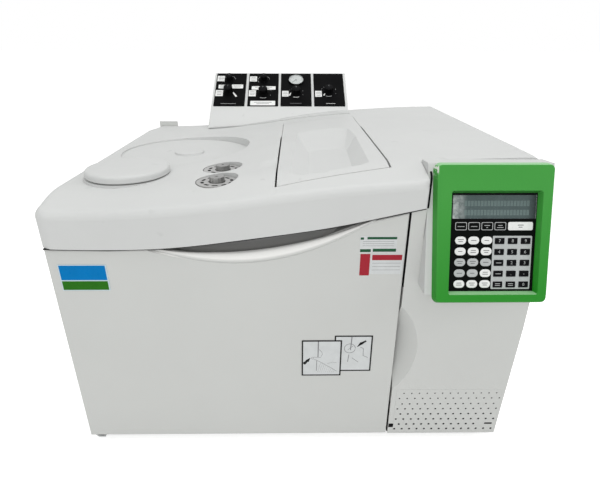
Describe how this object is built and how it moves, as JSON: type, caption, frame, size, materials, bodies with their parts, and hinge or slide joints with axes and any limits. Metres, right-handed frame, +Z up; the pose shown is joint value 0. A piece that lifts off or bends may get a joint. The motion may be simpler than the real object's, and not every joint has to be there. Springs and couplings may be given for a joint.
{
  "type": "gas chromatograph",
  "caption": "Bench gas chromatograph with a column oven behind a hinged door, injectors under a moulded cover, gas-control panel and keypad console.",
  "frame": {"origin": "centre of the footprint, on the bench surface under the feet", "axes": "+X to the right seen from the front, +Y to the back, +Z up; the oven door faces -Y"},
  "size_m": [0.652, 0.7137, 0.5125],
  "materials": {
    "body_paint": "fine satin texture",
    "cover_moulding": "moulded fine grain",
    "door_paint": "fine satin texture",
    "green_plastic": "satin green moulding",
    "black_panel": "printed black film",
    "keypad_film": "embossed membrane",
    "knob_plastic": "black moulding",
    "needle_black": "matt black",
    "clear_glass": "clear",
    "display_dark": "dark display",
    "machined_steel": "turned",
    "zinc_steel": "zinc plated sheet",
    "oven_steel": "stainless sheet",
    "lagging": "ceramic fibre board",
    "gasket_rubber": "silicone",
    "foot_rubber": "matt black",
    "column_coating": "polyimide coated silica",
    "motor_body": "dark enamel",
    "valve_aluminium": "machined",
    "circuit_board": "solder mask"
  },
  "bodies": {
    "chassis": {"base_pan": "zinc_steel", "capillary_column": "column_coating", "carrier_gas_fascia": "black_panel", "column_hanger": "oven_steel", "console_housing": "cover_moulding", "detector_body": "machined_steel", "detector_gas_fascia": "black_panel", "display_glass": "clear_glass", "display_module": "display_dark", "door_catch": "zinc_steel", "door_hinge_brackets": "zinc_steel", "exhaust_duct": "zinc_steel", "fan_motor": "motor_body", "feet": "foot_rubber", "front_frame": "zinc_steel", "front_injector_shield": "machined_steel", "front_panel": "body_paint", "gas_bulkhead_fittings": "machined_steel", "gas_panel_housing": "cover_moulding", "gauge_case": "knob_plastic", "gauge_fascia": "black_panel", "gauge_glass": "clear_glass", "heater_coil": "oven_steel", "injector_block": "machined_steel", "inlet_pins": "machined_steel", "keypad_bezel": "green_plastic", "keypad_overlay": "keypad_film", "left_side_panel": "body_paint", "main_board": "circuit_board", "oven_baffle": "oven_steel", "oven_insulation": "lagging", "oven_liner": "oven_steel", "power_inlet": "knob_plastic", "rear_injector_shield": "machined_steel", "rear_panel": "body_paint", "rear_top_cover": "body_paint", "right_side_panel": "body_paint", "split_flow_fascia": "black_panel", "top_cover": "cover_moulding", "transformer": "zinc_steel", "valve_manifold": "valve_aluminium", "vent_grille": "body_paint"},
    "oven_door": {"oven_door_shell": "door_paint", "door_inner_panel": "zinc_steel", "door_insulation_plug": "lagging", "door_gasket": "gasket_rubber"},
    "detector_lid": {"detector_cover": "cover_moulding"},
    "injector_cap": {"blanking_cap": "cover_moulding"},
    "rear_nut": {"rear_septum_nut": "machined_steel"},
    "front_nut": {"front_septum_nut": "machined_steel"},
    "fan": {"oven_fan": "oven_steel"},
    "flap": {"vent_flap": "zinc_steel"},
    "rocker": {"power_rocker": "knob_plastic"},
    "needle": {"gauge_needle": "needle_black"},
    "split_flow_dial": {"split_flow_knob": "knob_plastic"},
    "septum_purge_dial": {"septum_purge_knob": "knob_plastic"},
    "carrier_flow_dial": {"carrier_flow_knob": "knob_plastic"},
    "carrier_pressure_dial": {"carrier_pressure_knob": "knob_plastic"},
    "hydrogen_dial": {"hydrogen_knob": "knob_plastic"},
    "air_dial": {"air_knob": "knob_plastic"}
  },
  "joints": [
    {"name": "oven_door_hinge", "type": "hinge", "parent": "chassis", "child": "oven_door", "pos_m": [-0.313, -0.308, 0.172], "axis": [0, 0, -1], "range_deg": [0, 100]},
    {"name": "detector_lid_lift", "type": "slide", "parent": "chassis", "child": "detector_lid", "axis": [0, 0, 1], "range_m": [0, 0.12]},
    {"name": "injector_cap_lift", "type": "slide", "parent": "chassis", "child": "injector_cap", "axis": [0, 0, 1], "range_m": [0, 0.06]},
    {"name": "rear_nut_turn", "type": "hinge", "parent": "chassis", "child": "rear_nut", "pos_m": [-0.1035, -0.187, 0.408], "axis": [0, 0, 1], "continuous": true},
    {"name": "front_nut_turn", "type": "hinge", "parent": "chassis", "child": "front_nut", "pos_m": [-0.1025, -0.249, 0.408], "axis": [0, 0, 1], "continuous": true},
    {"name": "fan_spin", "type": "hinge", "parent": "chassis", "child": "fan", "pos_m": [-0.086, -0.085, 0.1645], "axis": [0, 1, 0], "continuous": true},
    {"name": "vent_flap_hinge", "type": "hinge", "parent": "chassis", "child": "flap", "pos_m": [-0.165, 0.3455, 0.281], "axis": [1, 0, 0], "range_deg": [0, 70]},
    {"name": "power_rocker_tilt", "type": "hinge", "parent": "chassis", "child": "rocker", "pos_m": [0.23, 0.336, 0.105], "axis": [1, 0, 0], "range_deg": [0, 16]},
    {"name": "gauge_needle_turn", "type": "hinge", "parent": "chassis", "child": "needle", "pos_m": [0.007, 0.3073, 0.49692], "axis": [0, 0.5592, -0.829], "range_deg": [0, 270]},
    {"name": "split_flow_turn", "type": "hinge", "parent": "chassis", "child": "split_flow_dial", "pos_m": [-0.1535, 0.31063, 0.49555], "axis": [0, -0.5592, 0.829], "range_deg": [0, 300]},
    {"name": "septum_purge_turn", "type": "hinge", "parent": "chassis", "child": "septum_purge_dial", "pos_m": [-0.1535, 0.27664, 0.47262], "axis": [0, -0.5592, 0.829], "range_deg": [-270, 270]},
    {"name": "carrier_flow_turn", "type": "hinge", "parent": "chassis", "child": "carrier_flow_dial", "pos_m": [-0.071, 0.31063, 0.49555], "axis": [0, -0.5592, 0.829], "range_deg": [0, 300]},
    {"name": "carrier_pressure_turn", "type": "hinge", "parent": "chassis", "child": "carrier_pressure_dial", "pos_m": [-0.071, 0.2725, 0.46983], "axis": [0, -0.5592, 0.829], "range_deg": [-270, 270]},
    {"name": "hydrogen_turn", "type": "hinge", "parent": "chassis", "child": "hydrogen_dial", "pos_m": [0.007, 0.27291, 0.4701], "axis": [0, -0.5592, 0.829], "range_deg": [-270, 270]},
    {"name": "air_turn", "type": "hinge", "parent": "chassis", "child": "air_dial", "pos_m": [0.084, 0.27664, 0.47262], "axis": [0, -0.5592, 0.829], "range_deg": [-270, 270]}
  ]
}
